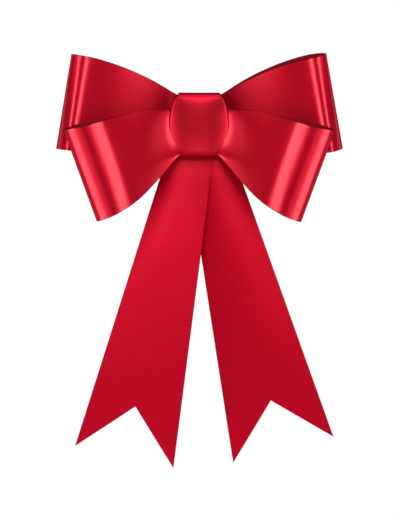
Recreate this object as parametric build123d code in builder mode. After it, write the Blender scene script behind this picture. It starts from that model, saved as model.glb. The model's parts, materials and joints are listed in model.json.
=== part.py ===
"""Pre-made gift bow: four ribbon loops and two swallow-tailed streamers, tacked together with one
centre stitch, wrapped in a padded knot band and carried on a self-adhesive backing.

The bow stands upright: +Z is up, the front faces -Y, and the back mounting face is the plane Y = 0.
"Depth" below is the distance forward of that face, so a point at depth d lies at Y = -d.
"""

import math
import os

from build123d import *

os.makedirs("parts", exist_ok=True)

# ---------------------------------------------------------------- ribbon
RIBBON_THICK = 0.4
LAYER_GAP = 0.25        # free play between two strips that swivel on the stitch
LOOP_END_GAP = 0.1      # slit between the two ends of one loop, where the tack pulls them together

# ---------------------------------------------------------------- backing
LINER_THICK = 0.15
LINER_OVERHANG = 1.0    # how far the liner stands past the foam pad all round
LINER_TAB_LENGTH = 7.0
LINER_TAB_WIDTH = 12.0
PAD_THICK = 1.0
PAD_SIDE = 24.0
PAD_CORNER = 3.0
CARD_THICK = 0.6
CARD_RADIUS = 14.0

# ---------------------------------------------------------------- centre stitch
STITCH_RADIUS = 1.2
STITCH_HOLE_CLEARANCE = 0.1
STITCH_HEAD_RADIUS = 3.0
STITCH_HEAD_THICK = 0.8
STITCH_HEAD_GAP = 0.1

# ---------------------------------------------------------------- knot band
BAND_HALF_HEIGHT = 19.8
BAND_TOP_HALF_WIDTH = 12.75
BAND_MIDDLE_HALF_WIDTH = 18.9
BAND_BOTTOM_HALF_WIDTH = 11.75
BAND_FRONT_DEPTH = 29.0
BAND_SHOULDER_DROP = 5.0        # how far the top and bottom edges of the dome lie behind its middle
BAND_SHOULDER_RADIUS = 5.5
BAND_DOME_RADIUS = 30.0
BAND_DOME_HALF_FLAT = 6.0
BAND_BACK_RADIUS = 1.2
BAND_LAP_HALF = 9.0             # half the height of the glued lap at the back
BAND_GLUE_THICK = 0.15
BAND_GLUE_HALF_WIDTH = 10.0
PADDING_GAP = 0.1               # free play between the band and the padding inside it
PADDING_SIDE_CLEARANCE = 7.2    # from the padding's end to where the front loops lift

# ---------------------------------------------------------------- loops
NECK_CLEARANCE = 7.9            # room above and below a strip's inner end, inside the band
FRONT_LIFT_INSET = 3.7          # the front loops leave the flat stack that far inside the band's side
REAR_LIFT_OUTSET = 1.1          # and the rear loops that far outside it
REAR_REACH = 87.2               # distance from the stitch to the outer fold
FRONT_REACH = 81.6
REAR_LOOP_THICK = 15.0          # fold to fold, front to back
FRONT_LOOP_THICK = 16.4
REAR_BACK_DEPTH = 1.4           # depth of a rear loop's back sheet, clear of the mounting plane
LOOP_PAIR_GAP = 1.8             # between a rear loop's front sheet and a front loop's back sheet
LOOP_SETTLE = 0.62              # share of the reach at which a sheet lies at its full depth
OUTLINE_OVERRUN = 5.0           # the outline is drawn that far past the outer fold
LOOP_SPAN = 60.0                # more than any loop reaches off its axis

# A rear loop's edge-on shape: a low shoulder by the knot and a crown before the outer fold.
REAR_SHOULDER = 0.42            # share of the reach at which the front sheet has its shoulder
REAR_SHOULDER_DROP = 3.4
REAR_CROWN_INSET = 9.0          # from the outer fold back to the crown
REAR_CROWN_DROP = 1.2
REAR_FOLD_SHARE = 0.62          # share of the loop's thickness at which the fold turns home
REAR_RADII = [60, 60, 6, 4, 14, 80, 14, 5]

# A front loop's edge-on shape: a steep rise inside the band's mouth, a shoulder beside the band, a
# long slope up to the crest and a crown before the outer fold.
FRONT_BACK_LAG = 1.0            # the back sheet lifts that much further out than the front sheet
FRONT_BACK_RISE = 7.05          # run over which the back sheet climbs
FRONT_BACK_DROP = 1.8
FRONT_FRONT_RISE = 4.6          # run over which the front sheet climbs to its shoulder
FRONT_SHOULDER_DROP = 9.0
FRONT_CREST_INSET = 22.8        # from the outer fold back to the line where the sheet stands highest
FRONT_CROWN_INSET = 9.0
FRONT_CROWN_DROP = 2.2
FRONT_FOLD_LIFT = 0.8
FRONT_FOLD_SHARE = 0.6
FRONT_RADII = [4, 12, 60, 5, 5, 18, 40, 5, 2.5]

# ---------------------------------------------------------------- tails
TAIL_TOP_RADIUS = 14.0
TAIL_TAPER_START = 6.0          # distance below the stitch at which a tail starts to widen
TAIL_LIFT_CLEARANCE = 1.7       # a tail stays flat that far past the band's lower edge
TAIL_ARCH_PEAK = 0.42           # share of a tail's length at which its arch peaks
TAIL_ARCH_FALL = 0.72           # share at which it has come back by a fifth
TAIL_ARCH_RADII = [60, 150, 300]
TAIL_SPAN = 30.0                # more than any tail stands off the mounting plane

# ---------------------------------------------------------------- depths of the stack, back to front
pad_depth = LINER_THICK
card_depth = pad_depth + PAD_THICK
right_tail_depth = card_depth + CARD_THICK + LAYER_GAP
left_tail_depth = right_tail_depth + RIBBON_THICK + LAYER_GAP
band_back_depth = left_tail_depth + RIBBON_THICK + LAYER_GAP
band_lap_depth = band_back_depth + RIBBON_THICK + BAND_GLUE_THICK
first_loop_depth = band_lap_depth + RIBBON_THICK + LAYER_GAP
loop_neck_thick = 2 * RIBBON_THICK + LOOP_END_GAP
loop_pitch = loop_neck_thick + LAYER_GAP
LOOP_COUNT = 4
stitch_head_depth = first_loop_depth + LOOP_COUNT * loop_pitch - LAYER_GAP + STITCH_HEAD_GAP
padding_depth = stitch_head_depth + STITCH_HEAD_THICK
stitch_hole_radius = STITCH_RADIUS + STITCH_HOLE_CLEARANCE

# ---------------------------------------------------------------- what passes through the band
band_inner_half_height = BAND_HALF_HEIGHT - RIBBON_THICK
neck_radius = band_inner_half_height - NECK_CLEARANCE
rear_neck_lift = BAND_MIDDLE_HALF_WIDTH + REAR_LIFT_OUTSET
front_neck_lift = BAND_MIDDLE_HALF_WIDTH - FRONT_LIFT_INSET
padding_half_width = front_neck_lift - PADDING_SIDE_CLEARANCE
tail_lift = BAND_HALF_HEIGHT + TAIL_LIFT_CLEARANCE
front_back_depth = REAR_BACK_DEPTH + REAR_LOOP_THICK + LOOP_PAIR_GAP
liner_side = PAD_SIDE + 2 * LINER_OVERHANG

# Half outlines of the waisted strips, as distance from the stitch and distance off the loop's axis.
# Each starts at the band's mouth, a set clearance inside the band, and ends beyond the outer fold.
REAR_TOP_EDGE = [(17.6, band_inner_half_height - 3.0), (34.5, 23.2), (58.5, 29.0)]
REAR_TOP_CORNER = 31.2
REAR_BOTTOM_EDGE = [(17.6, 6.0 - band_inner_half_height), (34.5, -20.5), (58.5, -27.0)]
REAR_BOTTOM_CORNER = -29.6
FRONT_TOP_EDGE = [(14.0, band_inner_half_height - 3.5), (25.6, 23.2), (40.0, 26.3)]
FRONT_TOP_CORNER = 29.6
FRONT_BOTTOM_EDGE = [(19.3, 7.0 - band_inner_half_height), (42.4, -22.7), (62.0, -29.6)]
FRONT_BOTTOM_CORNER = -31.7

# Each loop: side (-1 left, +1 right), rise of its axis in degrees, place in the stack, and the slant
# that sets the back sheet a little higher than the front sheet.
LOOPS = {
    "rear_right_loop": dict(side=1, rise=9.8, layer=0, rear=True, slant=7.5),
    "rear_left_loop": dict(side=-1, rise=9.1, layer=1, rear=True, slant=1.0),
    "front_right_loop": dict(side=1, rise=-20.3, layer=2, rear=False, slant=10.0),
    "front_left_loop": dict(side=-1, rise=-20.1, layer=3, rear=False, slant=10.0),
}

# Each tail: side, lean of its centre line off the vertical, depth of its layer, its cut end, and how
# far it arches forward. The right tail bows slightly back, so that the left one never rubs on it.
TAILS = {
    "right_tail": dict(
        side=1, lean=14.5, depth=right_tail_depth,
        length=211.5, notch=179.5, half_width=32.6, arch_height=-1.2, tip_lift=-0.4,
    ),
    "left_tail": dict(
        side=-1, lean=12.7, depth=left_tail_depth,
        length=214.5, notch=182.0, half_width=31.7, arch_height=8.0, tip_lift=1.0,
    ),
}


def parallel_route(points, radii, distance):
    """The same route moved sideways, to its left, with its bends still round the same centres."""
    corners = [Vector(*point) for point in points]
    runs = [(end - start).normalized() for start, end in zip(corners, corners[1:])]
    normals = [Vector(-run.Y, run.X) for run in runs]
    moved = [corners[0] + normals[0] * distance]
    moved_radii = []
    for corner, before, after, radius in zip(corners[1:], normals, normals[1:], radii):
        moved.append(corner + (before + after) * (distance / (1 + before.dot(after))))
        turns_left = before.cross(after).Z > 0
        moved_radii.append(radius - distance if turns_left else radius + distance)
    moved.append(corners[-1] + normals[-1] * distance)
    return moved, moved_radii


def strip_section(plane, points, radii):
    """The edge-on outline, on a plane, of a ribbon that follows the filleted route of points."""
    far_points, far_radii = parallel_route(points, radii, RIBBON_THICK)
    with BuildSketch(plane) as section:
        with BuildLine():
            near_face = FilletPolyline(*points, radius=radii)
            far_face = FilletPolyline(*far_points, radius=far_radii)
            Line(near_face @ 0, far_face @ 0)
            Line(near_face @ 1, far_face @ 1)
        make_face()
    return section.sketch


def rear_loop_route(neck_depth):
    """A rear loop seen along its rulings: (distance from the stitch, depth), then the bend radii.

    It runs out along the back sheet, round the outer fold and home along the front sheet, and is
    the strip's outer face, so the ribbon's thickness lies to its left.
    """
    inner = -neck_radius - 1.0
    front_neck = neck_depth + loop_neck_thick
    back, front = REAR_BACK_DEPTH, REAR_BACK_DEPTH + REAR_LOOP_THICK
    route = [
        (inner, neck_depth),
        (rear_neck_lift, neck_depth),
        (LOOP_SETTLE * REAR_REACH, back),
        (REAR_REACH, back),
        (REAR_REACH, back + REAR_FOLD_SHARE * REAR_LOOP_THICK),
        (REAR_REACH - REAR_CROWN_INSET, front - REAR_CROWN_DROP),
        (LOOP_SETTLE * REAR_REACH, front),
        (REAR_SHOULDER * REAR_REACH, front - REAR_SHOULDER_DROP),
        (rear_neck_lift, front_neck),
        (inner, front_neck),
    ]
    return route, REAR_RADII


def front_loop_route(neck_depth):
    """A front loop seen the same way."""
    inner = -neck_radius - 1.0
    front_neck = neck_depth + loop_neck_thick
    back_lift = front_neck_lift + FRONT_BACK_LAG
    back, front = front_back_depth, front_back_depth + FRONT_LOOP_THICK
    route = [
        (inner, neck_depth),
        (back_lift, neck_depth),
        (back_lift + FRONT_BACK_RISE, back - FRONT_BACK_DROP),
        (LOOP_SETTLE * FRONT_REACH, back),
        (FRONT_REACH, back + FRONT_FOLD_LIFT),
        (FRONT_REACH, back + FRONT_FOLD_SHARE * FRONT_LOOP_THICK),
        (FRONT_REACH - FRONT_CROWN_INSET, front - FRONT_CROWN_DROP),
        (FRONT_REACH - FRONT_CREST_INSET, front),
        (front_neck_lift + FRONT_FRONT_RISE, front - FRONT_SHOULDER_DROP),
        (front_neck_lift, front_neck),
        (inner, front_neck),
    ]
    return route, FRONT_RADII


for name, loop in LOOPS.items():
    rise = math.radians(loop["rise"])
    outward = Vector(loop["side"] * math.cos(rise), 0, math.sin(rise))
    upward = Vector(-loop["side"] * math.sin(rise), 0, math.cos(rise))
    forward = Vector(0, -1, 0)
    section_plane = Plane(origin=(0, 0, 0), x_dir=outward, z_dir=outward.cross(forward))
    neck_depth = first_loop_depth + loop["layer"] * loop_pitch
    if loop["rear"]:
        top_edge, bottom_edge = REAR_TOP_EDGE, REAR_BOTTOM_EDGE
        top_corner, bottom_corner = REAR_TOP_CORNER, REAR_BOTTOM_CORNER
        front_depth = REAR_BACK_DEPTH + REAR_LOOP_THICK
        far_end = REAR_REACH + OUTLINE_OVERRUN
        points, radii = rear_loop_route(neck_depth)
    else:
        top_edge, bottom_edge = FRONT_TOP_EDGE, FRONT_BOTTOM_EDGE
        top_corner, bottom_corner = FRONT_TOP_CORNER, FRONT_BOTTOM_CORNER
        front_depth = front_back_depth + FRONT_LOOP_THICK
        far_end = FRONT_REACH + OUTLINE_OVERRUN
        points, radii = front_loop_route(neck_depth)
    slant = math.radians(loop["slant"])
    backward = Vector(0, math.cos(slant), 0) + upward * math.sin(slant)
    neck_centre = Vector(0, -neck_depth, 0)
    run_to_front = (front_depth + 1.0 - neck_depth) / math.cos(slant)
    outline_plane = Plane(
        origin=neck_centre - backward * run_to_front, x_dir=outward, z_dir=outward.cross(upward)
    )

    with BuildPart() as ribbon_loop:
        extrude(strip_section(section_plane, points, radii), amount=LOOP_SPAN, both=True)
        with BuildSketch(outline_plane):
            with BuildLine():
                top = Spline((0, neck_radius), *top_edge, (far_end, top_corner))
                bottom = Spline((0, -neck_radius), *bottom_edge, (far_end, bottom_corner))
                Line(top @ 1, bottom @ 1)
                ThreePointArc(top @ 0, (-neck_radius, 0), bottom @ 0)
            make_face()
        extrude(amount=front_depth + 2.0, dir=backward, mode=Mode.INTERSECT)
        with BuildSketch(Plane.XZ):
            Circle(stitch_hole_radius)
        extrude(amount=front_depth, mode=Mode.SUBTRACT)
    ribbon_loop.part.label = name
    export_step(ribbon_loop.part, f"parts/{name}.step")


def tail_route(tail):
    """A tail seen edge-on: flat behind the knot, arched below it, its tip almost back."""
    length, depth, height = tail["length"], tail["depth"], tail["arch_height"]
    return [
        (-TAIL_TOP_RADIUS - 1.0, depth),
        (tail_lift, depth),
        (TAIL_ARCH_PEAK * length, depth + height),
        (TAIL_ARCH_FALL * length, depth + 0.8 * height),
        (length + 1.0, depth + tail["tip_lift"]),
    ]


for name, tail in TAILS.items():
    lean = math.radians(tail["lean"])
    downward = Vector(tail["side"] * math.sin(lean), 0, -math.cos(lean))
    sideways = Vector(math.cos(lean), 0, tail["side"] * math.sin(lean))
    forward = Vector(0, -1, 0)
    section_plane = Plane(origin=(0, 0, 0), x_dir=downward, z_dir=downward.cross(forward))
    outline_plane = Plane(origin=(0, 0, 0), x_dir=downward, z_dir=downward.cross(sideways))
    tip, notch, half = tail["length"], tail["notch"], tail["half_width"]

    with BuildPart() as streamer:
        extrude(
            strip_section(section_plane, tail_route(tail), TAIL_ARCH_RADII), amount=half, both=True
        )
        with BuildSketch(outline_plane):
            with BuildLine():
                left_edge = Line((TAIL_TAPER_START, TAIL_TOP_RADIUS), (tip, half))
                right_edge = Line((TAIL_TAPER_START, -TAIL_TOP_RADIUS), (tip, -half))
                Polyline(left_edge @ 1, (notch, 0), right_edge @ 1)
                Line((0, TAIL_TOP_RADIUS), left_edge @ 0)
                Line((0, -TAIL_TOP_RADIUS), right_edge @ 0)
                ThreePointArc((0, TAIL_TOP_RADIUS), (-TAIL_TOP_RADIUS, 0), (0, -TAIL_TOP_RADIUS))
            make_face()
        extrude(amount=TAIL_SPAN, both=True, mode=Mode.INTERSECT)
        with BuildSketch(Plane.XZ):
            Circle(stitch_hole_radius)
        extrude(amount=band_back_depth, mode=Mode.SUBTRACT)
    streamer.part.label = name
    export_step(streamer.part, f"parts/{name}.step")


# ---------------------------------------------------------------- knot
def knot_outline():
    """The knot band seen from the front, bowed out at its sides between its top and bottom edges."""
    with BuildSketch(Plane.XZ) as outline:
        with BuildLine():
            right = ThreePointArc(
                (BAND_BOTTOM_HALF_WIDTH, -BAND_HALF_HEIGHT),
                (BAND_MIDDLE_HALF_WIDTH, 0),
                (BAND_TOP_HALF_WIDTH, BAND_HALF_HEIGHT),
            )
            left = ThreePointArc(
                (-BAND_BOTTOM_HALF_WIDTH, -BAND_HALF_HEIGHT),
                (-BAND_MIDDLE_HALF_WIDTH, 0),
                (-BAND_TOP_HALF_WIDTH, BAND_HALF_HEIGHT),
            )
            Line(right @ 0, left @ 0)
            Line(right @ 1, left @ 1)
        make_face()
    return outline.sketch


# The edge-on plane of the knot: its x runs up and its y runs forward.
KNOT_SECTION = Plane(origin=(0, 0, 0), x_dir=(0, 0, 1), z_dir=(1, 0, 0))
BAND_FRONT_ROUTE = [
    (BAND_HALF_HEIGHT, BAND_FRONT_DEPTH - BAND_SHOULDER_DROP),
    (BAND_DOME_HALF_FLAT, BAND_FRONT_DEPTH),
    (-BAND_DOME_HALF_FLAT, BAND_FRONT_DEPTH),
    (-BAND_HALF_HEIGHT, BAND_FRONT_DEPTH - BAND_SHOULDER_DROP),
]
BAND_FRONT_RADII = [BAND_SHOULDER_RADIUS, BAND_DOME_RADIUS, BAND_DOME_RADIUS, BAND_SHOULDER_RADIUS]

with BuildPart() as knot_band:
    band_route = [
        (-BAND_LAP_HALF, band_lap_depth),
        (BAND_HALF_HEIGHT, band_lap_depth),
        *BAND_FRONT_ROUTE,
        (-BAND_HALF_HEIGHT, band_back_depth),
        (BAND_LAP_HALF, band_back_depth),
    ]
    band_radii = [BAND_BACK_RADIUS, *BAND_FRONT_RADII, BAND_BACK_RADIUS]
    extrude(
        strip_section(KNOT_SECTION, band_route, band_radii),
        amount=BAND_MIDDLE_HALF_WIDTH,
        both=True,
    )
    extrude(knot_outline(), amount=BAND_FRONT_DEPTH, mode=Mode.INTERSECT)
    with BuildSketch(Plane.XZ):
        Circle(stitch_hole_radius)
    extrude(amount=first_loop_depth, mode=Mode.SUBTRACT)
knot_band.part.label = "knot_band"
export_step(knot_band.part, "parts/knot_band.step")

with BuildPart() as band_glue:
    with BuildSketch(Plane.XZ.offset(band_back_depth + RIBBON_THICK)):
        Rectangle(2 * BAND_GLUE_HALF_WIDTH, 2 * BAND_LAP_HALF)
        Circle(stitch_hole_radius, mode=Mode.SUBTRACT)
    extrude(amount=BAND_GLUE_THICK)
band_glue.part.label = "band_glue"
export_step(band_glue.part, "parts/band_glue.step")

with BuildPart() as knot_padding:
    inset = RIBBON_THICK + PADDING_GAP
    padding_route = [
        (BAND_HALF_HEIGHT, padding_depth),
        *BAND_FRONT_ROUTE,
        (-BAND_HALF_HEIGHT, padding_depth),
    ]
    padding_points, padding_radii = parallel_route(padding_route, BAND_FRONT_RADII, inset)
    with BuildSketch(KNOT_SECTION):
        with BuildLine():
            dome = FilletPolyline(*padding_points, radius=padding_radii)
            Line(dome @ 0, dome @ 1)
        make_face()
    extrude(amount=padding_half_width, both=True)
knot_padding.part.label = "knot_padding"
export_step(knot_padding.part, "parts/knot_padding.step")

# ---------------------------------------------------------------- centre stitch and backing
with BuildPart() as centre_stitch:
    with BuildSketch(Plane.XZ.offset(card_depth)):
        Circle(STITCH_RADIUS)
    extrude(amount=stitch_head_depth - card_depth)
    with BuildSketch(Plane.XZ.offset(stitch_head_depth)):
        Circle(STITCH_HEAD_RADIUS)
    extrude(amount=STITCH_HEAD_THICK)
centre_stitch.part.label = "centre_stitch"
export_step(centre_stitch.part, "parts/centre_stitch.step")

with BuildPart() as backing_card:
    with BuildSketch(Plane.XZ.offset(card_depth)):
        Circle(CARD_RADIUS)
        Circle(stitch_hole_radius, mode=Mode.SUBTRACT)
    extrude(amount=CARD_THICK)
backing_card.part.label = "backing_card"
export_step(backing_card.part, "parts/backing_card.step")

with BuildPart() as adhesive_pad:
    with BuildSketch(Plane.XZ.offset(pad_depth)):
        RectangleRounded(PAD_SIDE, PAD_SIDE, PAD_CORNER)
    extrude(amount=PAD_THICK)
adhesive_pad.part.label = "adhesive_pad"
export_step(adhesive_pad.part, "parts/adhesive_pad.step")

with BuildPart() as release_liner:
    with BuildSketch(Plane.XZ):
        RectangleRounded(liner_side, liner_side, PAD_CORNER)
        with Locations((0, -liner_side / 2)):
            RectangleRounded(LINER_TAB_WIDTH, 2 * LINER_TAB_LENGTH, PAD_CORNER)
    extrude(amount=LINER_THICK)
release_liner.part.label = "release_liner"
export_step(release_liner.part, "parts/release_liner.step")
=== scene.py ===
"""Ready-tied gift bow: four satin loops, two swallow-tailed streamers, a padded knot band and a
self-adhesive backing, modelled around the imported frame, with a plain studio stage.

Sizes are in metres. +Z is up and the front faces -Y. "Depth" is the distance forward of the back
mounting face, so a point at depth d lies at Y = -d.
"""

import json
import math

import bmesh
import bpy
from mathutils import Matrix, Vector, noise


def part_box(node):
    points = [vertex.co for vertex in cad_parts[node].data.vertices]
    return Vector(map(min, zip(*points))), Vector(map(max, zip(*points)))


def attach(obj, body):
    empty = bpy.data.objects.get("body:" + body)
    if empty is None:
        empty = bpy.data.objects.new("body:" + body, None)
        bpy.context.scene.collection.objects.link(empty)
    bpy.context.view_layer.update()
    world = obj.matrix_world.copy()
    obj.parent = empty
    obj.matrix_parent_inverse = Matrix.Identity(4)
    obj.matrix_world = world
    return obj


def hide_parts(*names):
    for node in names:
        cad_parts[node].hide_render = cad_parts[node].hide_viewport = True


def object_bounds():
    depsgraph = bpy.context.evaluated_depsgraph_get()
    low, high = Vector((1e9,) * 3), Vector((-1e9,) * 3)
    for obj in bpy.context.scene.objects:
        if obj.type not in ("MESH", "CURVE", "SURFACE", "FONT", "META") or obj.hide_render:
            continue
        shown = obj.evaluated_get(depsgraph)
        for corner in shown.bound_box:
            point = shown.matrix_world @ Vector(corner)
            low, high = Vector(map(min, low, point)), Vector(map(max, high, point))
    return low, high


bl_info = {
    "name": "Gift Bow",
    "version": (1, 0, 0),
    "blender": (4, 5, 0),
    "location": "View3D > Sidebar > Gift Bow",
    "description": "Builds a ready-tied satin gift bow on its packed frame",
    "category": "Object",
}

FORWARD = Vector((0.0, -1.0, 0.0))

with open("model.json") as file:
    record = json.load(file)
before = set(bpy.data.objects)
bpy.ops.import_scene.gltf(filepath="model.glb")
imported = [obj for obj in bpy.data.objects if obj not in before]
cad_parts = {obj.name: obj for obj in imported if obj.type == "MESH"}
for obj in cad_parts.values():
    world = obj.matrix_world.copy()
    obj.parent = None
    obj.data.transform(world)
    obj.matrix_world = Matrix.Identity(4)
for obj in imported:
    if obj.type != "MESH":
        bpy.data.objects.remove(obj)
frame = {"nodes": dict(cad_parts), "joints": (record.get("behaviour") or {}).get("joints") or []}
frame_box = [list(corner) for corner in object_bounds()]


def mm(*values):
    """The same numbers or points, given in millimetres, in metres."""
    if isinstance(values[0], tuple):
        return [tuple(0.001 * number for number in point) for point in values]
    return [0.001 * number for number in values]


def swing(joint_name):
    """The size of a joint's travel in radians: how far that strip is fanned out from level."""
    limits = next(j for j in frame["joints"] if j["name"] == joint_name)["range_deg"]
    return math.radians(max(abs(limit) for limit in limits))


# ---------------------------------------------------------------- what the frame gives
band_low, band_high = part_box("knot_band")
BAND_HALF_HEIGHT = band_high.z
BAND_HALF_WIDTH = band_high.x
BAND_FRONT = -band_low.y
BAND_BACK = -band_high.y
BAND_EDGE_HALF_WIDTH = 0.0122
BAND_EDGE_FLARE = 0.0005
pad_low, pad_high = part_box("knot_padding")

# ---------------------------------------------------------------- the flat stack behind the knot
NECK_RADIUS = 0.0115
FIRST_LOOP_DEPTH = 0.0045
LOOP_PITCH = 0.00115
LOOP_NECK_THICK = 0.0009
BLUNT_END = 0.0015

# ---------------------------------------------------------------- loops
REAR_BACK = 0.0014
REAR_FRONT = 0.0164
FRONT_BACK = 0.0182
FRONT_FRONT = 0.0342
REAR_BACK_TURN = 0.012
FRONT_BACK_TURN = 0.014
TILT_REACH = 0.056
# How much a front loop's back sheet is drawn down, so that less of it shows above the front one.
MOUTH_CLOSE = 0.0022
MOUTH_RUN = (0.042, 0.074)
# Where a front sheet starts and stops following the band's bowed side, and how far it tucks in.
SHOULDER_IN = (0.002, 0.013)
SHOULDER_OUT = (0.020, 0.045)
SHOULDER_TUCK = 0.0005
# From the outer fold in to the crest: share of the crest's inset, share of the drop still left.
REAR_FOLD = ((0.03, 0.79), (0.14, 0.61), (0.35, 0.38), (0.58, 0.16), (0.79, 0.030))
FRONT_FOLD = ((0.03, 0.73), (0.12, 0.55), (0.25, 0.375), (0.40, 0.205), (0.58, 0.07), (0.78, 0.01))

# Half outlines of the waisted strips: distance from the stitch, distance off the loop's axis.
REAR_TOP = mm(
    (0, 11.5), (17.6, 16.7), (26.4, 20.2), (34.5, 23.2), (46, 26.5), (58.5, 29.2), (74, 31.1),
    (92.2, 31.2),
)
REAR_BOTTOM = mm((0, -11.5), (17.6, -13.4), (34.5, -20.5), (58.5, -27.0), (78, -29.1), (92.2, -29.3))
FRONT_TOP = mm(
    (0, 11.5), (13.6, 18.0), (25.6, 22.9), (35.3, 25.2), (51.7, 26.7), (66.7, 27.8), (86.6, 29.7),
)
FRONT_BOTTOM = mm(
    (0, -11.5), (9, -9.5), (19.3, -11.3), (36, -20.1), (52, -27.2), (69.7, -31.2), (86.6, -32.3),
)

LOOPS = (
    # name, side, rise joint, sign of the rise, layer, rear, slant in degrees
    ("rear_right_loop", 1, "rear_right_fan", 1, 0, True, 11.5),
    ("rear_left_loop", -1, "rear_left_fan", 1, 1, True, 1.0),
    ("front_right_loop", 1, "front_right_fan", -1, 2, False, 10.0),
    ("front_left_loop", -1, "front_left_fan", -1, 3, False, 10.0),
)

# ---------------------------------------------------------------- tails
TAIL_TOP_RADIUS = 0.014
TAIL_TAPER_START = 0.006
TAIL_TRIM = 0.0019
TAIL_TOP_SHARE = 0.10
# The streamer's edges curl back from a ridge that wanders from its middle out to its outer edge.
TAIL_CURL = 0.0021
TAIL_CURL_RUN = (0.018, 0.045)
TAIL_CURL_AT_TIP = 0.12
LAPPED_CURL = 0.2
RIDGE_START = 0.05
RIDGE_SHARES = (0.1, 0.9)
RIDGE_WANDER = 6.0
TAILS = (
    # name, side, lean joint, layer depth, tip, notch, half width, forward lean, body
    ("right_tail", 1, "right_tail_fan", 0.0020, 0.2115, 0.1795, 0.0326, 0.0052, "right_streamer"),
    ("left_tail", -1, "left_tail_fan", 0.00265, 0.2145, 0.1820, 0.0317, 0.0074, "left_streamer"),
)


# ---------------------------------------------------------------- sizes and colours a user changes
class GiftBowRibbon(bpy.types.PropertyGroup):
    thickness: bpy.props.FloatProperty(
        name="Ribbon thickness", description="Thickness of the satin ribbon",
        default=0.0004, min=0.0001, max=0.001, subtype="DISTANCE", unit="LENGTH",
    )
    front_reach: bpy.props.FloatProperty(
        name="Front reach", description="Stitch to the outer fold of a front loop",
        default=0.0816, min=0.05, max=0.12, subtype="DISTANCE", unit="LENGTH",
    )
    rear_reach: bpy.props.FloatProperty(
        name="Rear reach", description="Stitch to the outer fold of a rear loop",
        default=0.0866, min=0.05, max=0.12, subtype="DISTANCE", unit="LENGTH",
    )
    front_crest: bpy.props.FloatProperty(
        name="Front crest inset", description="From a front loop's outer fold in to its crest",
        default=0.0216, min=0.01, max=0.04, subtype="DISTANCE", unit="LENGTH",
    )
    rear_crest: bpy.props.FloatProperty(
        name="Rear crest inset", description="From a rear loop's outer fold in to its crest",
        default=0.0095, min=0.003, max=0.03, subtype="DISTANCE", unit="LENGTH",
    )
    face_tilt: bpy.props.FloatProperty(
        name="Face tilt", description="How far the loops' faces look up",
        default=math.radians(6.0), min=0.0, max=math.radians(12.0), subtype="ANGLE",
        unit="ROTATION",
    )
    color: bpy.props.FloatVectorProperty(
        name="Ribbon colour", description="Colour of the satin face", size=3,
        default=(0.78, 0.0033, 0.027), min=0.0, max=1.0, subtype="COLOR",
    )
    # The dark edge colour is painted shade, standing in for the thin contact shadows along the ribbons'
    # edges.
    edge_shade_color: bpy.props.FloatVectorProperty(
        name="Edge colour", description="Colour of the ribbon's cut and woven edges", size=3,
        default=(0.16, 0.001, 0.006), min=0.0, max=1.0, subtype="COLOR",
    )
    # The reverse is really duller than the face; its dark colour is partly painted shade for the shaded
    # insides of the loops.
    reverse_and_shade_color: bpy.props.FloatVectorProperty(
        name="Back colour", description="Colour of the ribbon's dull reverse", size=3,
        default=(0.31, 0.002, 0.009), min=0.0, max=1.0, subtype="COLOR",
    )


class GiftBowKnot(bpy.types.PropertyGroup):
    crown: bpy.props.FloatProperty(
        name="Crown", description="How far the band's sides lie behind its middle",
        default=0.0034, min=0.0, max=0.006, subtype="DISTANCE", unit="LENGTH",
    )
    edge_roll: bpy.props.FloatProperty(
        name="Edge roll", description="How far the band's side edges roll back",
        default=0.0005, min=0.0, max=0.003, subtype="DISTANCE", unit="LENGTH",
    )
    fill: bpy.props.FloatProperty(
        name="Padding fill", description="How full the wadding under the band is",
        default=0.8, min=0.0, max=1.0, subtype="FACTOR",
    )


class GiftBowStage(bpy.types.PropertyGroup):
    camera_distance: bpy.props.FloatProperty(
        name="Camera distance", description="Camera to the bow", default=6.0, min=1.0, max=20.0,
        subtype="DISTANCE", unit="LENGTH",
    )
    view_height: bpy.props.FloatProperty(
        name="View height", description="Height of the picture at the bow", default=0.327,
        min=0.1, max=1.0, subtype="DISTANCE", unit="LENGTH",
    )
    view_center: bpy.props.FloatProperty(
        name="View centre", description="Height of the picture's centre", default=-0.0850,
        min=-0.5, max=0.5, subtype="DISTANCE", unit="LENGTH",
    )
    floor_drop: bpy.props.FloatProperty(
        name="Floor drop", description="Floor below the streamers' tips", default=0.055,
        min=0.0, max=0.5, subtype="DISTANCE", unit="LENGTH",
    )


# ---------------------------------------------------------------- curves
def ease(low, high, value):
    """0 at low and before, 1 at high and beyond, a smooth step between."""
    t = min(1.0, max(0.0, (value - low) / (high - low)))
    return t * t * (3.0 - 2.0 * t)


def curve_through(points, x):
    """The height at x of a smooth curve through a few (x, height) points."""
    last = len(points) - 1
    i = sum(1 for point in points[1:-1] if x > point[0])

    def slope(k):
        before, after = points[max(k - 1, 0)], points[min(k + 1, last)]
        return (after[1] - before[1]) / (after[0] - before[0])

    (x0, y0), (x1, y1) = points[i], points[i + 1]
    width = x1 - x0
    t = (x - x0) / width
    if t <= 0.0:
        return y0 + slope(i) * (x - x0)
    if t >= 1.0:
        return y1 + slope(i + 1) * (x - x1)
    return (
        y0 * (1 + 2 * t) * (1 - t) ** 2
        + slope(i) * width * t * (1 - t) ** 2
        + y1 * t * t * (3 - 2 * t)
        + slope(i + 1) * width * t * t * (t - 1)
    )


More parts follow.
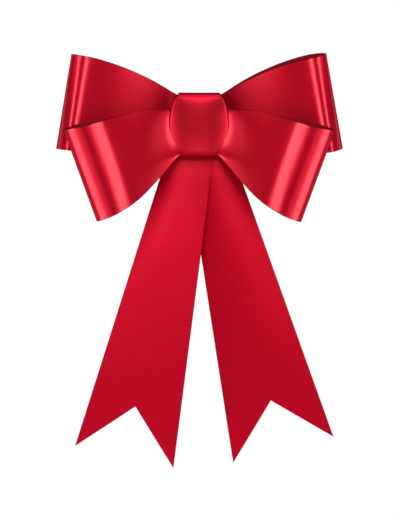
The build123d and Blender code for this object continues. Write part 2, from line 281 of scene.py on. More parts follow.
def smooth_route(corners, rows, steps=24):
    """Evenly spaced points on the cubic B-spline that the corners pull into shape."""
    held = [corners[0]] * 2 + list(corners) + [corners[-1]] * 2
    fine = []
    for a, b, c, d in zip(held, held[1:], held[2:], held[3:]):
        for step in range(steps):
            t = step / steps
            weights = (
                (1 - t) ** 3 / 6,
                (3 * t**3 - 6 * t**2 + 4) / 6,
                (-3 * t**3 + 3 * t**2 + 3 * t + 1) / 6,
                t**3 / 6,
            )
            spot = [sum(w * p[k] for w, p in zip(weights, (a, b, c, d))) for k in (0, 1)]
            fine.append(Vector(spot))
    fine.append(Vector(corners[-1]))
    runs = [0.0]
    for before, after in zip(fine, fine[1:]):
        runs.append(runs[-1] + (after - before).length)
    even, i = [], 0
    for row in range(rows + 1):
        run = runs[-1] * row / rows
        while i < len(fine) - 2 and runs[i + 1] < run:
            i += 1
        gap = runs[i + 1] - runs[i]
        share = 0.0 if gap < 1e-12 else (run - runs[i]) / gap
        even.append((fine[i].lerp(fine[i + 1], min(1.0, share)), run))
    return even


def band_half_width(height):
    """Half the knot band's width at a height: an arc bowed out between its top and its bottom."""
    edge = BAND_EDGE_HALF_WIDTH + BAND_EDGE_FLARE * height / BAND_HALF_HEIGHT
    share = min(1.0, abs(height) / BAND_HALF_HEIGHT)
    sagitta = BAND_HALF_WIDTH - edge
    radius = (sagitta**2 + BAND_HALF_HEIGHT**2) / (2 * sagitta)
    return BAND_HALF_WIDTH - radius + math.sqrt(radius**2 - (share * BAND_HALF_HEIGHT) ** 2)


# ---------------------------------------------------------------- sheets
def ribbon_sheet(name, rows, columns, place, materials, thickness):
    """A ribbon cut flat, then bent: place(along, across) gives where a point of it goes, the run
    along the ribbon, the distance off its centre line and the distance to its nearest edge."""
    bm = bmesh.new()
    flat_cut = bm.loops.layers.uv.new("flat_cut")
    edge_distance = bm.verts.layers.float.new("edge_distance")
    bmesh.ops.create_grid(bm, x_segments=rows, y_segments=columns, size=0.5, calc_uvs=True)
    cut = {}
    for vert in bm.verts:
        spot, run, offset, margin = place(vert.co.x + 0.5, math.sin(math.pi * vert.co.y))
        vert.co = spot
        vert[edge_distance] = margin
        cut[vert] = (offset, run)
    for face in bm.faces:
        for corner in face.loops:
            corner[flat_cut].uv = cut[corner.vert]
    bmesh.ops.remove_doubles(bm, verts=bm.verts, dist=1e-6)
    bm.normal_update()
    foremost = min(bm.faces, key=lambda face: face.calc_center_median().y)
    if foremost.normal.y > 0:
        bmesh.ops.reverse_faces(bm, faces=bm.faces)
    area = sum(face.calc_area() for face in bm.faces)
    for edge in bm.edges:
        edge.smooth = not edge.is_boundary
    for face in bm.faces:
        face.smooth = True
    mesh = bpy.data.meshes.new(name)
    bm.to_mesh(mesh)
    bm.free()
    for material in materials:
        mesh.materials.append(material)
    piece = bpy.data.objects.new(name, mesh)
    bpy.context.scene.collection.objects.link(piece)
    wall = piece.modifiers.new("ribbon_wall", "SOLIDIFY")
    wall.thickness = thickness
    wall.offset = -1.0
    # The inner shell takes the dull reverse, whose dark colour is partly painted shade for the loops'
    # shaded insides.
    wall.material_offset = 2
    # The rim takes the dark edge material, painted shade for the thin shadow lines along the ribbon's
    # edges.
    wall.material_offset_rim = 1
    return piece, area


def declare_ribbon(piece, body, node):
    """Rides a ribbon on its body and stands it for its solid, which is hidden."""
    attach(piece, body)
    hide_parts(node)


# ---------------------------------------------------------------- loops
def rear_route(reach, crest, neck):
    """A rear loop seen edge-on, from its back end round the outer fold to its front end."""
    middle = 0.5 * (REAR_BACK + REAR_FRONT)
    half = 0.5 * (REAR_FRONT - REAR_BACK)
    front_neck = neck + LOOP_NECK_THICK
    route = [(-NECK_RADIUS, neck), (0.0, neck), (0.012, neck), (0.020, neck)]
    route += [(0.034, REAR_BACK + 0.0012), (0.050, REAR_BACK), (0.066, REAR_BACK)]
    for turn in (-72, -48, -24, 0):
        angle = math.radians(turn)
        route.append((reach - REAR_BACK_TURN * (1 - math.cos(angle)), middle + half * math.sin(angle)))
    for inset, drop in REAR_FOLD:
        route.append((reach - crest * inset, REAR_FRONT - half * drop))
    for inset, drop in mm((0, 0), (2, 0.1), (4, 0.4), (9, 1.5), (15, 2.85), (22, 4.1), (30, 5.25)):
        route.append((reach - crest - inset, REAR_FRONT - drop))
    route += [(0.0370, REAR_FRONT - 0.0065), (0.0270, REAR_FRONT - 0.0077)]
    route += [(0.0215, REAR_FRONT - 0.0088)]
    route += [(0.0175, front_neck + 0.0008), (0.014, front_neck), (0.0, front_neck)]
    return route + [(-NECK_RADIUS, front_neck)]


def front_route(reach, crest, neck):
    """A front loop seen edge-on: it climbs steeply inside the band's mouth, clears the band and
    slopes gently up to its crest."""
    middle = 0.5 * (FRONT_BACK + FRONT_FRONT)
    half = 0.5 * (FRONT_FRONT - FRONT_BACK)
    front_neck = neck + LOOP_NECK_THICK
    route = [(-NECK_RADIUS, neck), (0.0, neck), (0.009, neck), (0.0155, neck)]
    route += [(0.0195, FRONT_BACK - 0.004), (0.026, FRONT_BACK - 0.0004), (0.040, FRONT_BACK)]
    route += [(0.056, FRONT_BACK)]
    for turn in (-72, -48, -24, 0):
        angle = math.radians(turn)
        route.append((reach - FRONT_BACK_TURN * (1 - math.cos(angle)), middle + half * math.sin(angle)))
    for inset, drop in FRONT_FOLD:
        route.append((reach - crest * inset, FRONT_FRONT - half * drop))
    for inset, drop in mm((2, 0.05), (5, 0.4), (11, 1.5), (22, 3.7), (26, 4.6), (30, 5.6)):
        route.append((reach - crest - inset, FRONT_FRONT - drop))
    route += [(0.0260, FRONT_FRONT - 0.0068), (0.0220, FRONT_FRONT - 0.0081)]
    route += [(0.0180, FRONT_FRONT - 0.0098), (0.0150, FRONT_FRONT - 0.0116)]
    route += [(0.0125, FRONT_FRONT - 0.0190), (0.0105, front_neck + 0.001)]
    route += [(0.0075, front_neck), (0.0, front_neck)]
    return route + [(-NECK_RADIUS, front_neck)]


def build_loop(row, ribbon, materials):
    """One ribbon loop, bent from its waisted flat cut."""
    name, side, joint, sign, layer, rear, slant = row
    rise = sign * swing(joint)
    outward = Vector((side * math.cos(rise), 0.0, math.sin(rise)))
    upward = Vector((-side * math.sin(rise), 0.0, math.cos(rise)))
    neck = FIRST_LOOP_DEPTH + layer * LOOP_PITCH
    rows, columns = 220, 36
    lean_back = math.tan(ribbon.face_tilt)
    if rear:
        top_edge, bottom_edge, reach = REAR_TOP, REAR_BOTTOM, ribbon.rear_reach
        route = rear_route(reach, ribbon.rear_crest, neck)
    else:
        top_edge, bottom_edge, reach = FRONT_TOP, FRONT_BOTTOM, ribbon.front_reach
        route = front_route(reach, ribbon.front_crest, neck)
    even = smooth_route(route, rows)
    fold = max(range(rows + 1), key=lambda k: even[k][0].x)
    slope = math.tan(math.radians(slant))

    def edges(u):
        if u < 0.0:
            half = max(BLUNT_END, math.sqrt(max(0.0, NECK_RADIUS**2 - u**2)))
            return half, -half
        return curve_through(top_edge, u), curve_through(bottom_edge, u)

    def beside_band(u, v):
        """u moved in, so that the shoulder of a front sheet follows the band's bowed side."""
        spot = u
        for _ in range(4):
            height = spot * math.sin(rise) + v * math.cos(rise)
            half = band_half_width(height)
            spot = (half + v * math.sin(rise)) / math.cos(rise)
        lag = BAND_HALF_WIDTH / math.cos(rise) - SHOULDER_TUCK - spot
        return u - lag * ease(*SHOULDER_IN, u) * (1.0 - ease(*SHOULDER_OUT, u))

    def place(along, across):
        index = round(along * rows)
        (u, depth), run = even[index]
        top, bottom = edges(u)
        v = 0.5 * (top + bottom) + 0.5 * (top - bottom) * across
        shift = (depth - neck) * slope
        if not rear and index <= fold:
            v -= MOUTH_CLOSE * max(0.0, across) * (1.0 - ease(*MOUTH_RUN, u))
        if not rear and index > fold:
            u = beside_band(u, v - shift)
            top, bottom = edges(u)
            v = 0.5 * (top + bottom) + 0.5 * (top - bottom) * across
        spot = outward * u + upward * (v - shift)
        share = math.sin(0.5 * math.pi * min(1.0, abs(spot.x) / TILT_REACH))
        share *= min(1.0, depth / REAR_FRONT)
        spot += FORWARD * (depth - lean_back * share * spot.z)
        margin = 0.5 * (top - bottom) * (1.0 - abs(across))
        return spot, run, v, margin

    piece, area = ribbon_sheet(
        name + "_ribbon", rows, columns, place, materials, ribbon.thickness
    )
    body = name.replace("_loop", "")
    declare_ribbon(piece, body, name)
    return piece


class GIFTBOW_OT_loops(bpy.types.Operator):
    """Build the two rear loops and the two front loops"""

    bl_idname = "giftbow.loops"
    bl_label = "Ribbon loops"

    def execute(self, context):
        ribbon = context.scene.gift_bow_ribbon
        materials = satin_materials(ribbon)
        for row in LOOPS:
            build_loop(row, ribbon, materials)
        return {"FINISHED"}


# ---------------------------------------------------------------- tails
def build_tail(row, ribbon, materials):
    """One streamer with a swallow-tail cut, hanging flat behind the knot and arched below it."""
    name, side, joint, depth, tip, notch, half_width, arch, body = row
    lean = swing(joint)
    downward = Vector((side * math.sin(lean), 0.0, -math.cos(lean)))
    sideways = Vector((math.cos(lean), 0.0, side * math.sin(lean)))
    rows, columns = 150, 40
    spread = (half_width - TAIL_TOP_RADIUS) / (tip - TAIL_TAPER_START)
    route = [(-TAIL_TOP_RADIUS, depth), (0.004, depth), (BAND_HALF_HEIGHT + 0.001, depth)]
    route += [(0.14 * tip, depth + 0.1 * arch), (0.28 * tip, depth + 0.3 * arch)]
    route += [(0.42 * tip, depth + 0.5 * arch), (0.7 * tip, depth + 0.76 * arch)]
    route += [(tip, depth + arch)]
    even = smooth_route(route, 300)

    def half_at(u):
        if u < 0.0:
            return max(BLUNT_END, math.sqrt(max(0.0, TAIL_TOP_RADIUS**2 - u**2)))
        return TAIL_TOP_RADIUS + spread * max(0.0, u - TAIL_TAPER_START)

    def depth_at(u):
        for (spot, _), (after, _) in zip(even, even[1:]):
            if after.x >= u:
                share = (u - spot.x) / max(1e-9, after.x - spot.x)
                return spot.y + (after.y - spot.y) * share
        return even[-1][0].y

    def cut_at(across):
        """Where the column ends on the straight swallow-tail cut from a tip to the notch."""
        lead = (tip - notch) * abs(across) / half_width
        base = TAIL_TOP_RADIUS - spread * TAIL_TAPER_START
        return (notch + lead * base) / (1.0 - lead * spread)

    def place(along, across):
        if along < TAIL_TOP_SHARE:
            u = -TAIL_TOP_RADIUS * math.cos(0.5 * math.pi * along / TAIL_TOP_SHARE)
        else:
            u = cut_at(across) * (along - TAIL_TOP_SHARE) / (1.0 - TAIL_TOP_SHARE)
        half = half_at(u)
        outer = side * across
        lower = max(0.0, 1.0 - max(u, 0.0) / tip)
        v = half * across + side * TAIL_TRIM * 0.5 * (1.0 - outer) * lower
        near, far = RIDGE_SHARES
        ridge = min(far, near + RIDGE_WANDER * max(0.0, u - RIDGE_START))
        curl = TAIL_CURL * (outer - ridge) ** 2 * ease(*TAIL_CURL_RUN, u)
        curl *= TAIL_CURL_AT_TIP + (1.0 - TAIL_CURL_AT_TIP) * lower
        if side < 0 and outer < ridge:
            curl *= LAPPED_CURL
        spot = downward * u + sideways * v + FORWARD * (depth_at(u) - curl)
        return spot, u, v, half * (1.0 - abs(across))

    piece, area = ribbon_sheet(
        name + "_ribbon", rows, columns, place, materials, ribbon.thickness
    )
    declare_ribbon(piece, body, name)
    return piece


class GIFTBOW_OT_tails(bpy.types.Operator):
    """Build the two swallow-tailed streamers"""

    bl_idname = "giftbow.tails"
    bl_label = "Streamers"

    def execute(self, context):
        ribbon = context.scene.gift_bow_ribbon
        materials = satin_materials(ribbon, "satin_tail", 0.12, 0.22, 0.52)
        for row in TAILS:
            build_tail(row, ribbon, materials)
        return {"FINISHED"}


# ---------------------------------------------------------------- knot
def build_band(ribbon, knot, materials):
    """The knot band: one strip round the padding, bowed at its sides, lapped at the back."""
    rows, columns = 200, 40
    high, front = BAND_HALF_HEIGHT, BAND_FRONT
    inner_lap = BAND_BACK + 0.00055
    route = mm((-9.0, 0), (0.0, 0), (10.0, 0), (17.0, 0))
    route = [(height, inner_lap) for height, _ in route]
    route += [(high, inner_lap), (high, 0.45 * front), (high, front - 0.009)]
    route += [(high, front - 0.0036), (high - 0.0006, front - 0.0006)]
    route += [(high - 0.0040, front + 0.0006), (0.0, front), (-0.0085, front - 0.0008)]
    route += [(0.0036 - high, front - 0.0019), (0.0004 - high, front - 0.0030)]
    route += [(-high, front - 0.0068), (-high, 0.45 * front), (-high, BAND_BACK)]
    route += [(height, BAND_BACK) for height in mm(-17.0, -10.0, 0.0, 9.0)]
    even = smooth_route(route, rows)

    def place(along, across):
        (height, depth), run = even[round(along * rows)]
        half = band_half_width(height)
        forwardness = ease(0.35 * front, 0.9 * front, depth)
        roll = max(0.0, abs(across) - 0.93) / 0.07
        crown = knot.crown * (1.0 if across > 0.0 else 0.93)
        crown *= 1.0 - 0.9 * ease(0.1 * high, high, height)
        drop = crown * abs(across) ** 2.3 + knot.edge_roll * roll * roll
        spot = Vector((half * across, -depth + drop * forwardness, height))
        return spot, run, half * across, half * (1.0 - abs(across))

    piece, area = ribbon_sheet(
        "knot_band_ribbon", rows, columns, place, materials, ribbon.thickness
    )
    declare_ribbon(
        piece, "knot", "knot_band",
    )
    return piece


WADDING_ROUNDNESS = 0.80
WADDING_SIZE = 0.945
WADDING_WAIST = 0.90
TUFT_HEIGHT = 0.018
TUFTS_PER_SIDE = 2.6


def build_wadding():
    """The wadding that fills the band: a crowned pillow with pulled-in sides."""
    center = 0.5 * (pad_low + pad_high)
    half = 0.5 * (pad_high - pad_low)
    bm = bmesh.new()
    bmesh.ops.create_cube(bm, size=2.0)
    bmesh.ops.subdivide_edges(bm, edges=bm.edges, cuts=23, use_grid_fill=True)
    for vert in bm.verts:
        x, y, z = vert.co
        round_off = Vector(
            (
                x * math.sqrt(1 - y * y / 2 - z * z / 2 + y * y * z * z / 3),
                y * math.sqrt(1 - z * z / 2 - x * x / 2 + z * z * x * x / 3),
                z * math.sqrt(1 - x * x / 2 - y * y / 2 + x * x * y * y / 3),
            )
        )
        shape = vert.co.lerp(round_off, WADDING_ROUNDNESS)
        tuft = noise.fractal(vert.co * TUFTS_PER_SIDE, 0.6, 2.0, 4) * TUFT_HEIGHT
        shape *= WADDING_SIZE + tuft
        shape.x *= WADDING_WAIST
        vert.co = center + Vector((shape.x * half.x, shape.y * half.y, shape.z * half.z))
    for face in bm.faces:
        face.smooth = True
    mesh = bpy.data.meshes.new("knot_wadding")
    bm.to_mesh(mesh)
    bm.free()
    mesh.materials.append(fibre_material("wadding", (0.86, 0.84, 0.80), 0.95, 900.0, 0.55))
    piece = bpy.data.objects.new("knot_wadding", mesh)
    bpy.context.scene.collection.objects.link(piece)
    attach(piece, "knot")
    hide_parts("knot_padding")
    return piece


class GIFTBOW_OT_knot(bpy.types.Operator):
    """Build the knot band and the wadding inside it"""

    bl_idname = "giftbow.knot"
    bl_label = "Knot"

    def execute(self, context):
        ribbon = context.scene.gift_bow_ribbon
        knot = context.scene.gift_bow_knot
        build_wadding()
        build_band(ribbon, knot, satin_materials(ribbon, "satin_knot", 0.3, 0.34))
        return {"FINISHED"}


# ---------------------------------------------------------------- materials
def new_material(name):
    """A material with an empty tree but for its Principled shader, and that shader."""
    material = bpy.data.materials.new(name)
    material.use_nodes = True
    return material, material.node_tree.nodes["Principled BSDF"]


def group_socket(group, name, direction, kind, default=None):
    """Adds a named socket to a node group's interface."""
    socket = group.interface.new_socket(name=name, in_out=direction, socket_type=kind)
    if default is not None:
        socket.default_value = default
    return socket


def math_node(tree, operation, first, second=None):
    """A Math node; each input is a socket to link or a number."""
    node = tree.nodes.new("ShaderNodeMath")
    node.operation = operation
    for index, value in enumerate((first, second)):
        if isinstance(value, bpy.types.NodeSocket):
            tree.links.new(value, node.inputs[index])
        elif value is not None:
            node.inputs[index].default_value = value
    return node.outputs[0]


def weave_and_edge_shade_group():
    """Satin weave: fine warp threads along the ribbon, a slow drift of tone, and a darker strip along
    every edge that is painted shade, standing in for the thin contact shadows where ribbons lap and
    meet.
    """
    if "satin_weave_and_edge_shade" in bpy.data.node_groups:
        return bpy.data.node_groups["satin_weave_and_edge_shade"]
    group = bpy.data.node_groups.new("satin_weave_and_edge_shade", "ShaderNodeTree")
    group_socket(group, "Flat Cut", "INPUT", "NodeSocketVector")
    group_socket(group, "Edge Distance", "INPUT", "NodeSocketFloat", 0.01)
    group_socket(group, "Face Color", "INPUT", "NodeSocketColor", (0.8, 0.0, 0.0, 1.0))
    group_socket(group, "Painted Edge Shade", "INPUT", "NodeSocketColor", (0.2, 0.0, 0.0, 1.0))
    group_socket(group, "Thread Pitch", "INPUT", "NodeSocketFloat", 0.00028)
    group_socket(group, "Painted Edge Shade Width", "INPUT", "NodeSocketFloat", 0.0006)
    group_socket(group, "Color", "OUTPUT", "NodeSocketColor")
    group_socket(group, "Roughness", "OUTPUT", "NodeSocketFloat")
    group_socket(group, "Normal", "OUTPUT", "NodeSocketVector")
    nodes, links = group.nodes, group.links
    inside = nodes.new("NodeGroupInput")
    outside = nodes.new("NodeGroupOutput")

    parts = nodes.new("ShaderNodeSeparateXYZ")
    links.new(inside.outputs["Flat Cut"], parts.inputs[0])
    turns = math_node(group, "DIVIDE", parts.outputs["X"], inside.outputs["Thread Pitch"])
    warp = math_node(group, "SINE", math_node(group, "MULTIPLY", turns, 2 * math.pi))
    floats = math_node(group, "DIVIDE", parts.outputs["Y"], inside.outputs["Thread Pitch"])
    weft_turns = math_node(group, "MULTIPLY", floats, 2 * math.pi / 5.0)
    weft = math_node(group, "SINE", math_node(group, "ADD", weft_turns, turns))
    weave = math_node(group, "MULTIPLY", math_node(group, "ADD", warp, 2.0), weft)

    drift = nodes.new("ShaderNodeTexNoise")
    drift.inputs["Scale"].default_value = 26.0
    drift.inputs["Detail"].default_value = 3.0
    links.new(inside.outputs["Flat Cut"], drift.inputs["Vector"])
    tone = nodes.new("ShaderNodeMapRange")
    tone.inputs["From Min"].default_value = 0.3
    tone.inputs["From Max"].default_value = 0.7
    tone.inputs["To Min"].default_value = 0.96
    tone.inputs["To Max"].default_value = 1.03
    links.new(drift.outputs["Fac"], tone.inputs["Value"])
    toned = nodes.new("ShaderNodeVectorMath")
    toned.operation = "SCALE"
    links.new(inside.outputs["Face Color"], toned.inputs[0])
    links.new(tone.outputs[0], toned.inputs["Scale"])

    # Painted shade: a darker strip along every ribbon edge, standing in for the thin contact shadows at
    # laps, seams and the band's outline.
    edge_shade = nodes.new("ShaderNodeMapRange")
    edge_shade.interpolation_type = "SMOOTHSTEP"
    edge_shade.inputs["From Min"].default_value = 0.0
    edge_shade.inputs["To Min"].default_value = 1.0
    edge_shade.inputs["To Max"].default_value = 0.0
    links.new(inside.outputs["Edge Distance"], edge_shade.inputs["Value"])
    links.new(inside.outputs["Painted Edge Shade Width"], edge_shade.inputs["From Max"])
    mix = nodes.new("ShaderNodeMix")
    mix.data_type = "RGBA"
    links.new(edge_shade.outputs[0], mix.inputs["Factor"])
    links.new(toned.outputs[0], mix.inputs["A"])
    links.new(inside.outputs["Painted Edge Shade"], mix.inputs["B"])
    links.new(mix.outputs["Result"], outside.inputs["Color"])

    rough = nodes.new("ShaderNodeMapRange")
    rough.inputs["To Min"].default_value = 0.29
    rough.inputs["To Max"].default_value = 0.33
    links.new(drift.outputs["Fac"], rough.inputs["Value"])
    links.new(rough.outputs[0], outside.inputs["Roughness"])

    bump = nodes.new("ShaderNodeBump")
    bump.inputs["Strength"].default_value = 0.10
    bump.inputs["Distance"].default_value = 0.000015
    links.new(weave, bump.inputs["Height"])
    links.new(bump.outputs[0], outside.inputs["Normal"])
    return group


def satin_face(name, ribbon, sheen, haze, luster):
    """The ribbon's satin face: sheen is how much clear gloss lies over it, haze how soft it is,
    luster how much of its light is mirrored."""
    face, shader = new_material(name)
    tree = face.node_tree
    weave = tree.nodes.new("ShaderNodeGroup")
    weave.node_tree = weave_and_edge_shade_group()
    weave.inputs["Face Color"].default_value = (*ribbon.color, 1.0)
    # The edge strip's darker colour is painted shade, standing in for the thin contact shadows along
    # the ribbons' edges.
    weave.inputs["Painted Edge Shade"].default_value = (*(0.35 * c for c in ribbon.color), 1.0)
    flat_cut = tree.nodes.new("ShaderNodeUVMap")
    flat_cut.uv_map = "flat_cut"
    margin = tree.nodes.new("ShaderNodeAttribute")
    margin.attribute_name = "edge_distance"
    tree.links.new(flat_cut.outputs["UV"], weave.inputs["Flat Cut"])
    tree.links.new(margin.outputs["Fac"], weave.inputs["Edge Distance"])
    tree.links.new(weave.outputs["Color"], shader.inputs["Base Color"])
    tree.links.new(weave.outputs["Roughness"], shader.inputs["Roughness"])
    tree.links.new(weave.outputs["Normal"], shader.inputs["Normal"])
    shader.inputs["Metallic"].default_value = luster
    shader.inputs["Specular IOR Level"].default_value = 0.0
    shader.inputs["IOR"].default_value = 1.5
    shader.inputs["Coat Weight"].default_value = sheen
    shader.inputs["Coat Roughness"].default_value = haze
    shader.inputs["Coat IOR"].default_value = 1.5
    return face


def satin_materials(ribbon, face_name="satin_face", sheen=0.6, haze=0.18, luster=0.68):
    """A satin face, a dark edge that is painted shade for the thin shadow lines along the ribbon's
    edges, and its dull reverse, whose dark colour is partly painted shade for the loops' shaded
    insides.
    """
    known = bpy.data.materials
    face = known.get(face_name) or satin_face(face_name, ribbon, sheen, haze, luster)
    if "satin_edge_shade" in known:
        return [face, known["satin_edge_shade"], known["satin_back_and_shade"]]
    # The rim's dark colour is painted shade, standing in for the thin shadow lines along the ribbons'
    # edges.
    edge, rim = new_material("satin_edge_shade")
    grain = edge.node_tree.nodes.new("ShaderNodeTexNoise")
    grain.inputs["Scale"].default_value = 2500.0
    spot = edge.node_tree.nodes.new("ShaderNodeTexCoord")
    ramp = edge.node_tree.nodes.new("ShaderNodeMix")
    ramp.data_type = "RGBA"
    ramp.inputs["A"].default_value = (*(0.7 * c for c in ribbon.edge_shade_color), 1.0)
    ramp.inputs["B"].default_value = (*ribbon.edge_shade_color, 1.0)
    links = edge.node_tree.links
    links.new(spot.outputs["Object"], grain.inputs["Vector"])
    links.new(grain.outputs["Fac"], ramp.inputs["Factor"])
    links.new(ramp.outputs["Result"], rim.inputs["Base Color"])
    rim.inputs["Roughness"].default_value = 0.7
    # The reverse is duller than the face; its dark colour is partly painted shade for the shaded
    # insides of the loops.
    back = fibre_material("satin_back_and_shade", ribbon.reverse_and_shade_color, 0.6, 2200.0, 0.2)
    back.node_tree.nodes["Principled BSDF"].inputs["Specular IOR Level"].default_value = 0.1
    return [face, edge, back]


def fibre_group():
    """Grain of a fibrous or foamed surface: a mottled tone and a fine bump on Object coordinates."""
    if "fibre_grain" in bpy.data.node_groups:
        return bpy.data.node_groups["fibre_grain"]
    group = bpy.data.node_groups.new("fibre_grain", "ShaderNodeTree")
    group_socket(group, "Base", "INPUT", "NodeSocketColor", (0.8, 0.8, 0.8, 1.0))
    group_socket(group, "Grain Scale", "INPUT", "NodeSocketFloat", 900.0)
    group_socket(group, "Depth", "INPUT", "NodeSocketFloat", 0.3)
    group_socket(group, "Color", "OUTPUT", "NodeSocketColor")
    group_socket(group, "Normal", "OUTPUT", "NodeSocketVector")
    nodes, links = group.nodes, group.links
    inside = nodes.new("NodeGroupInput")
    outside = nodes.new("NodeGroupOutput")
    spot = nodes.new("ShaderNodeTexCoord")
    grain = nodes.new("ShaderNodeTexNoise")
    grain.inputs["Detail"].default_value = 4.0
    links.new(spot.outputs["Object"], grain.inputs["Vector"])
    links.new(inside.outputs["Grain Scale"], grain.inputs["Scale"])
    tone = nodes.new("ShaderNodeMapRange")
    tone.inputs["To Min"].default_value = 0.86
    tone.inputs["To Max"].default_value = 1.08
    links.new(grain.outputs["Fac"], tone.inputs["Value"])
    toned = nodes.new("ShaderNodeVectorMath")
    toned.operation = "SCALE"
    links.new(inside.outputs["Base"], toned.inputs[0])
    links.new(tone.outputs[0], toned.inputs["Scale"])
    links.new(toned.outputs[0], outside.inputs["Color"])
    bump = nodes.new("ShaderNodeBump")
    bump.inputs["Distance"].default_value = 0.0002
    links.new(inside.outputs["Depth"], bump.inputs["Strength"])
    links.new(grain.outputs["Fac"], bump.inputs["Height"])
    links.new(bump.outputs[0], outside.inputs["Normal"])
    return group


def fibre_material(name, color, roughness, scale, depth):
    """A matt material with the fibre grain group."""
    material, shader = new_material(name)
    tree = material.node_tree
    grain = tree.nodes.new("ShaderNodeGroup")
    grain.node_tree = fibre_group()
    grain.inputs["Base"].default_value = (*color, 1.0)
    grain.inputs["Grain Scale"].default_value = scale
    grain.inputs["Depth"].default_value = depth
    tree.links.new(grain.outputs["Color"], shader.inputs["Base Color"])
    tree.links.new(grain.outputs["Normal"], shader.inputs["Normal"])
    shader.inputs["Roughness"].default_value = roughness
    return material


BACKING = (
    # node, material name, colour, roughness, grain scale, grain depth
    ("backing_card", "white_card", (0.80, 0.78, 0.74), 0.80, 1400.0, 0.25),
    ("adhesive_pad", "foam_tape", (0.90, 0.90, 0.87), 0.75, 2600.0, 0.60),
    ("release_liner", "release_paper", (0.93, 0.92, 0.88), 0.32, 700.0, 0.08),
    ("band_glue", "hot_melt", (0.86, 0.80, 0.62), 0.25, 300.0, 0.15),
    ("centre_stitch", "thread", (0.48, 0.006, 0.02), 0.70, 3200.0, 0.70),
)


class GIFTBOW_OT_backing(bpy.types.Operator):
    """Give the stitch, card, foam pad, release liner and glue their finishes"""

    bl_idname = "giftbow.backing"
    bl_label = "Backing"

    def execute(self, context):
        for node, name, color, roughness, scale, depth in BACKING:
            data = frame["nodes"][node].data
            data.materials.clear()
            data.materials.append(fibre_material(name, color, roughness, scale, depth))
        return {"FINISHED"}


# ---------------------------------------------------------------- stage
FLOOR_HALF = 0.45
VIEW_SHIFT = 0.0005
SURROUND_COLOR = (1.0, 0.97, 0.97, 1.0)
SURROUND_FILL = 0.26
SURROUND_GLOSS = 0.03
SOFTBOXES = (
    # name, azimuth, elevation, width, height, radiance
    ("front_box", 0.0, 14.5, 0.60, 0.86, 5.6),
    ("right_strip", 49.8, -5.0, 0.62, 3.2, 5.0),
    ("left_strip", -49.8, -5.0, 0.62, 3.2, 5.0),
    ("right_fill", 33.0, 0.0, 0.40, 2.2, 0.6),
    ("left_fill", -33.0, 0.0, 0.40, 2.2, 0.6),
    ("low_box", 0.0, -27.0, 1.8, 1.0, 1.5),
    ("right_rim", 96.0, 0.0, 0.8, 2.2, 1.1),
    ("left_rim", -96.0, 0.0, 0.8, 2.2, 1.1),
    ("top_box", 0.0, 50.0, 2.4, 1.6, 1.15),
)
LIGHT_DISTANCE = 3.0


def aim(thing, target):
    """Points a lamp or the camera at a spot."""
    thing.rotation_euler = (target - thing.location).to_track_quat("-Z", "Y").to_euler()


def build_lights():
    """Softboxes on a sphere about the bow, seen in the satin but not by the camera."""
    for name, azimuth, elevation, width, height, radiance in SOFTBOXES:
        lamp = bpy.data.lights.new(name, "AREA")
        lamp.shape = "RECTANGLE"
        lamp.size = width
        lamp.size_y = height
        lamp.energy = radiance * math.pi * width * height
        box = bpy.data.objects.new(name, lamp)
        a, e = math.radians(azimuth), math.radians(elevation)
        toward = Vector((math.sin(a) * math.cos(e), -math.cos(a) * math.cos(e), math.sin(e)))
        box.location = toward * LIGHT_DISTANCE
        aim(box, Vector((0.0, 0.0, 0.0)))
        box.visible_camera = False
        bpy.context.scene.collection.objects.link(box)


def build_world():
    """A white backdrop for the camera and an even, much dimmer fill for everything else."""
    world = bpy.data.worlds.new("studio")
    bpy.context.scene.world = world
    world.use_nodes = True
    tree = world.node_tree
    tree.nodes.clear()
    out = tree.nodes.new("ShaderNodeOutputWorld")
    mix = tree.nodes.new("ShaderNodeMixShader")
    fill = tree.nodes.new("ShaderNodeBackground")
    fill.inputs["Color"].default_value = SURROUND_COLOR
    fill.inputs["Strength"].default_value = SURROUND_FILL
    gloss = tree.nodes.new("ShaderNodeBackground")
    gloss.inputs["Color"].default_value = SURROUND_COLOR
    gloss.inputs["Strength"].default_value = SURROUND_GLOSS
    surround = tree.nodes.new("ShaderNodeMixShader")
    backdrop = tree.nodes.new("ShaderNodeBackground")
    backdrop.inputs["Color"].default_value = (1.0, 1.0, 1.0, 1.0)
    backdrop.inputs["Strength"].default_value = 1.0
    path = tree.nodes.new("ShaderNodeLightPath")
    tree.links.new(path.outputs["Is Camera Ray"], mix.inputs[0])
    tree.links.new(path.outputs["Is Glossy Ray"], surround.inputs[0])
    tree.links.new(fill.outputs[0], surround.inputs[1])
    tree.links.new(gloss.outputs[0], surround.inputs[2])
    tree.links.new(surround.outputs[0], mix.inputs[1])
    tree.links.new(backdrop.outputs[0], mix.inputs[2])
    tree.links.new(mix.outputs[0], out.inputs["Surface"])


def build_floor(stage):
    """A plain pale floor below the streamers' tips."""
    bm = bmesh.new()
    bmesh.ops.create_grid(bm, x_segments=8, y_segments=8, size=FLOOR_HALF)
    height = frame_box[0][2] - stage.floor_drop
    bmesh.ops.translate(bm, verts=bm.verts, vec=(0.0, 0.0, height))
    mesh = bpy.data.meshes.new("floor")
    bm.to_mesh(mesh)
    bm.free()
    mesh.materials.append(fibre_material("pale_floor", (0.88, 0.87, 0.86), 0.85, 60.0, 0.02))
    floor = bpy.data.objects.new("floor", mesh)
    bpy.context.scene.collection.objects.link(floor)


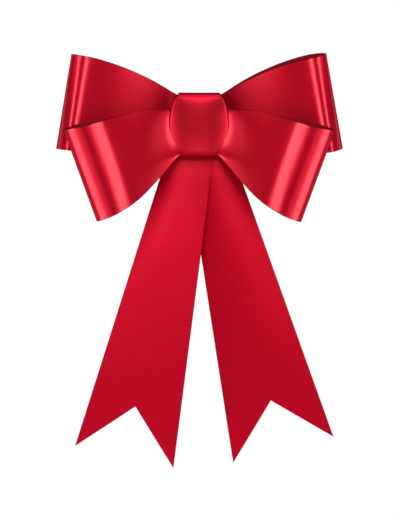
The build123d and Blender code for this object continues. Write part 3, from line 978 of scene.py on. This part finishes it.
def build_camera(stage):
    """A long lens level with the middle of the bow, straight in front of it."""
    lens = bpy.data.cameras.new("camera")
    camera = bpy.data.objects.new("camera", lens)
    camera.location = (VIEW_SHIFT, -stage.camera_distance, stage.view_center)
    camera.rotation_euler = (math.radians(90.0), 0.0, 0.0)
    lens.sensor_width = 36.0
    lens.lens = lens.sensor_width * stage.camera_distance / stage.view_height
    lens.clip_start = 0.1
    lens.clip_end = 100.0
    bpy.context.scene.collection.objects.link(camera)
    bpy.context.scene.camera = camera
    bpy.context.scene.view_settings.view_transform = "Standard"


class GIFTBOW_OT_stage(bpy.types.Operator):
    """Build the floor, the lights, the backdrop and the camera"""

    bl_idname = "giftbow.stage"
    bl_label = "Stage"

    def execute(self, context):
        stage = context.scene.gift_bow_stage
        build_floor(stage)
        build_lights()
        build_world()
        build_camera(stage)
        return {"FINISHED"}


# ---------------------------------------------------------------- panel and registration
class GIFTBOW_PT_panel(bpy.types.Panel):
    """The bow's sizes and the buttons that build it"""

    bl_label = "Gift Bow"
    bl_idname = "GIFTBOW_PT_panel"
    bl_space_type = "VIEW_3D"
    bl_region_type = "UI"
    bl_category = "Gift Bow"

    def draw(self, context):
        scene = context.scene
        for settings in (scene.gift_bow_ribbon, scene.gift_bow_knot, scene.gift_bow_stage):
            box = self.layout.box()
            for name in settings.__annotations__:
                box.prop(settings, name)
        for operator in OPERATORS:
            self.layout.operator(operator.bl_idname)


OPERATORS = (
    GIFTBOW_OT_loops,
    GIFTBOW_OT_tails,
    GIFTBOW_OT_knot,
    GIFTBOW_OT_backing,
    GIFTBOW_OT_stage,
)
SETTINGS = {
    "gift_bow_ribbon": GiftBowRibbon,
    "gift_bow_knot": GiftBowKnot,
    "gift_bow_stage": GiftBowStage,
}


def register():
    for settings in SETTINGS.values():
        bpy.utils.register_class(settings)
    for name, settings in SETTINGS.items():
        setattr(bpy.types.Scene, name, bpy.props.PointerProperty(type=settings))
    for operator in OPERATORS:
        bpy.utils.register_class(operator)
    bpy.utils.register_class(GIFTBOW_PT_panel)


def unregister():
    bpy.utils.unregister_class(GIFTBOW_PT_panel)
    for operator in reversed(OPERATORS):
        bpy.utils.unregister_class(operator)
    for name in SETTINGS:
        delattr(bpy.types.Scene, name)
    for settings in reversed(list(SETTINGS.values())):
        bpy.utils.unregister_class(settings)


def main():
    register()
    bpy.ops.giftbow.loops()
    bpy.ops.giftbow.tails()
    bpy.ops.giftbow.knot()
    bpy.ops.giftbow.backing()
    bpy.ops.giftbow.stage()


if __name__ == "__main__":
    main()
